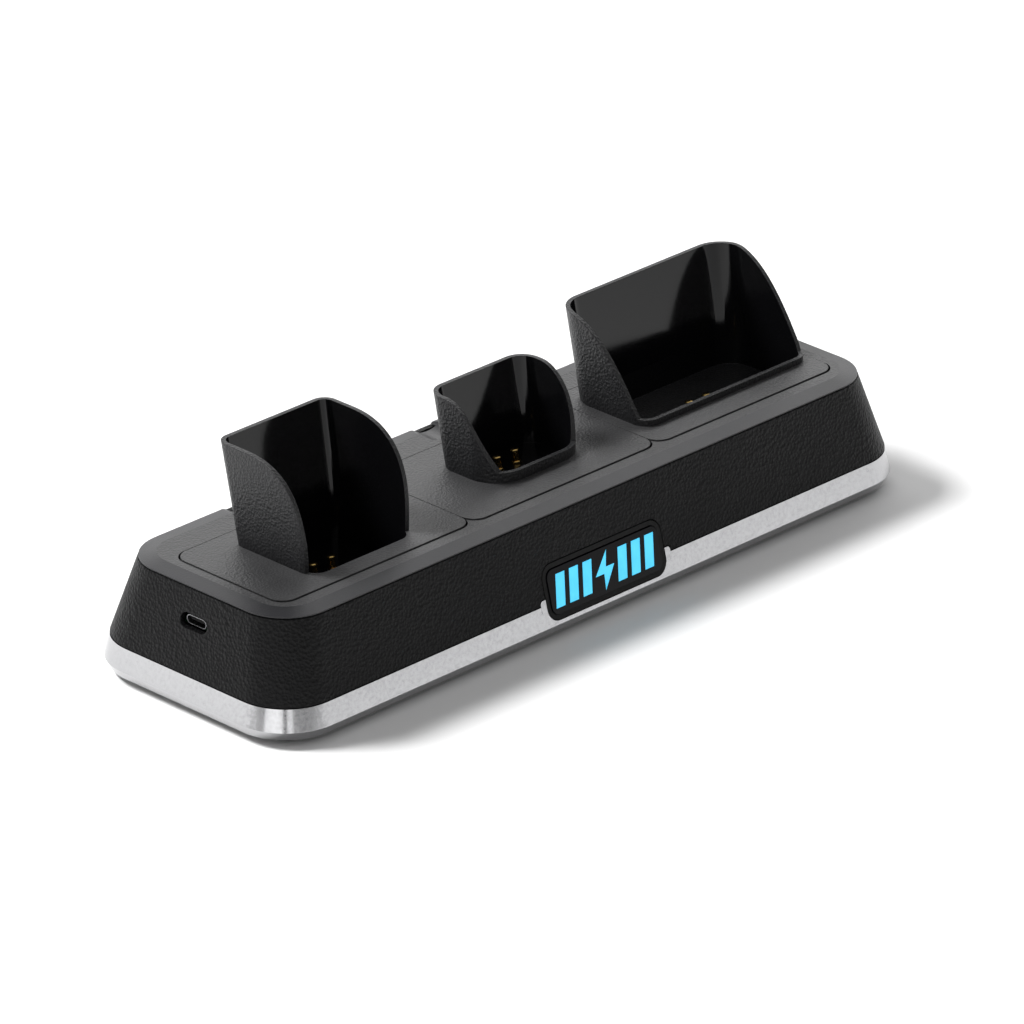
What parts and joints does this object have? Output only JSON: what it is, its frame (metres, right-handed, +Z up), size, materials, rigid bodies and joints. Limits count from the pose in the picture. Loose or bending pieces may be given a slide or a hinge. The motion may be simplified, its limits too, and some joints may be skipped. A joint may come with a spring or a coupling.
{
  "type": "grooming tool charging stand",
  "caption": "Charging stand with open cradle cups on lift-out trays, sprung contacts, a lit front window and a USB-C inlet in its left end.",
  "frame": {"origin": "centre of the stand's footprint, on the surface the feet rest on", "axes": "+X along the length to the right seen from the lit front, -Y out of the lit front, +Z up"},
  "size_m": [0.2918, 0.0952, 0.076],
  "materials": {
    "grained_black": "fine leather grain, satin",
    "satin_grey": "smooth satin",
    "tray_black": "fine grain outside and gloss inside the cups",
    "bright_plate": "bright plated",
    "matte_black": "matte moulded",
    "rubber_black": "matte",
    "zinc_steel": "zinc plated",
    "contact_gold": "gold plated",
    "gloss_black": "polished",
    "lit_cyan": "milky, lit from behind",
    "board_green": "solder mask",
    "diode_white": "matte"
  },
  "bodies": {
    "base": {"side_housing": "grained_black", "top_frame": "satin_grey", "skirt_ring": "bright_plate", "bottom_cover": "matte_black", "bay_socket_left": "matte_black", "bay_socket_centre": "matte_black", "bay_socket_right": "matte_black", "inlet_tongue": "matte_black", "foot_front_left": "rubber_black", "foot_front_right": "rubber_black", "foot_rear_left": "rubber_black", "foot_rear_right": "rubber_black", "inlet_shell": "zinc_steel", "cover_screw_1": "zinc_steel", "cover_screw_2": "zinc_steel", "cover_screw_3": "zinc_steel", "cover_screw_4": "zinc_steel", "cover_screw_5": "zinc_steel", "cover_screw_6": "zinc_steel", "board_screw_1": "zinc_steel", "board_screw_2": "zinc_steel", "board_screw_3": "zinc_steel", "board_screw_4": "zinc_steel", "badge_window": "gloss_black", "badge_border": "gloss_black", "light_guide": "lit_cyan", "main_board": "board_green", "inlet_board": "board_green", "diode_board": "board_green", "badge_diode_left": "diode_white", "badge_diode_centre": "diode_white", "badge_diode_right": "diode_white"},
    "tray_left": {"tray_left": "tray_black", "contact_block_left": "matte_black", "barrel_left_1": "contact_gold", "barrel_left_2": "contact_gold"},
    "contact_left_1": {"plunger_left_1": "contact_gold"},
    "contact_left_2": {"plunger_left_2": "contact_gold"},
    "tray_centre": {"tray_centre": "tray_black", "contact_block_centre": "matte_black", "barrel_centre_1": "contact_gold", "barrel_centre_2": "contact_gold"},
    "contact_centre_1": {"plunger_centre_1": "contact_gold"},
    "contact_centre_2": {"plunger_centre_2": "contact_gold"},
    "tray_right": {"tray_right": "tray_black", "contact_block_right": "matte_black", "barrel_right_1": "contact_gold", "barrel_right_2": "contact_gold"},
    "contact_right_1": {"plunger_right_1": "contact_gold"},
    "contact_right_2": {"plunger_right_2": "contact_gold"}
  },
  "joints": [
    {"name": "lift_left", "type": "slide", "parent": "base", "child": "tray_left", "axis": [0, 0, 1], "range_m": [0, 0.03]},
    {"name": "lift_centre", "type": "slide", "parent": "base", "child": "tray_centre", "axis": [0, 0, 1], "range_m": [0, 0.03]},
    {"name": "lift_right", "type": "slide", "parent": "base", "child": "tray_right", "axis": [0, 0, 1], "range_m": [0, 0.03]},
    {"name": "contact_press_left_1", "type": "slide", "parent": "tray_left", "child": "contact_left_1", "axis": [0, -0.2079, -0.9781], "range_m": [0, 0.0015], "stiffness_N_per_m": 300, "springref_m": -0.001},
    {"name": "contact_press_left_2", "type": "slide", "parent": "tray_left", "child": "contact_left_2", "axis": [0, -0.2079, -0.9781], "range_m": [0, 0.0015], "stiffness_N_per_m": 300, "springref_m": -0.001},
    {"name": "contact_press_centre_1", "type": "slide", "parent": "tray_centre", "child": "contact_centre_1", "axis": [0, -0.2079, -0.9781], "range_m": [0, 0.0015], "stiffness_N_per_m": 300, "springref_m": -0.001},
    {"name": "contact_press_centre_2", "type": "slide", "parent": "tray_centre", "child": "contact_centre_2", "axis": [0, -0.2079, -0.9781], "range_m": [0, 0.0015], "stiffness_N_per_m": 300, "springref_m": -0.001},
    {"name": "contact_press_right_1", "type": "slide", "parent": "tray_right", "child": "contact_right_1", "axis": [0, -0.2079, -0.9781], "range_m": [0, 0.0015], "stiffness_N_per_m": 300, "springref_m": -0.001},
    {"name": "contact_press_right_2", "type": "slide", "parent": "tray_right", "child": "contact_right_2", "axis": [0, -0.2079, -0.9781], "range_m": [0, 0.0015], "stiffness_N_per_m": 300, "springref_m": -0.001}
  ]
}
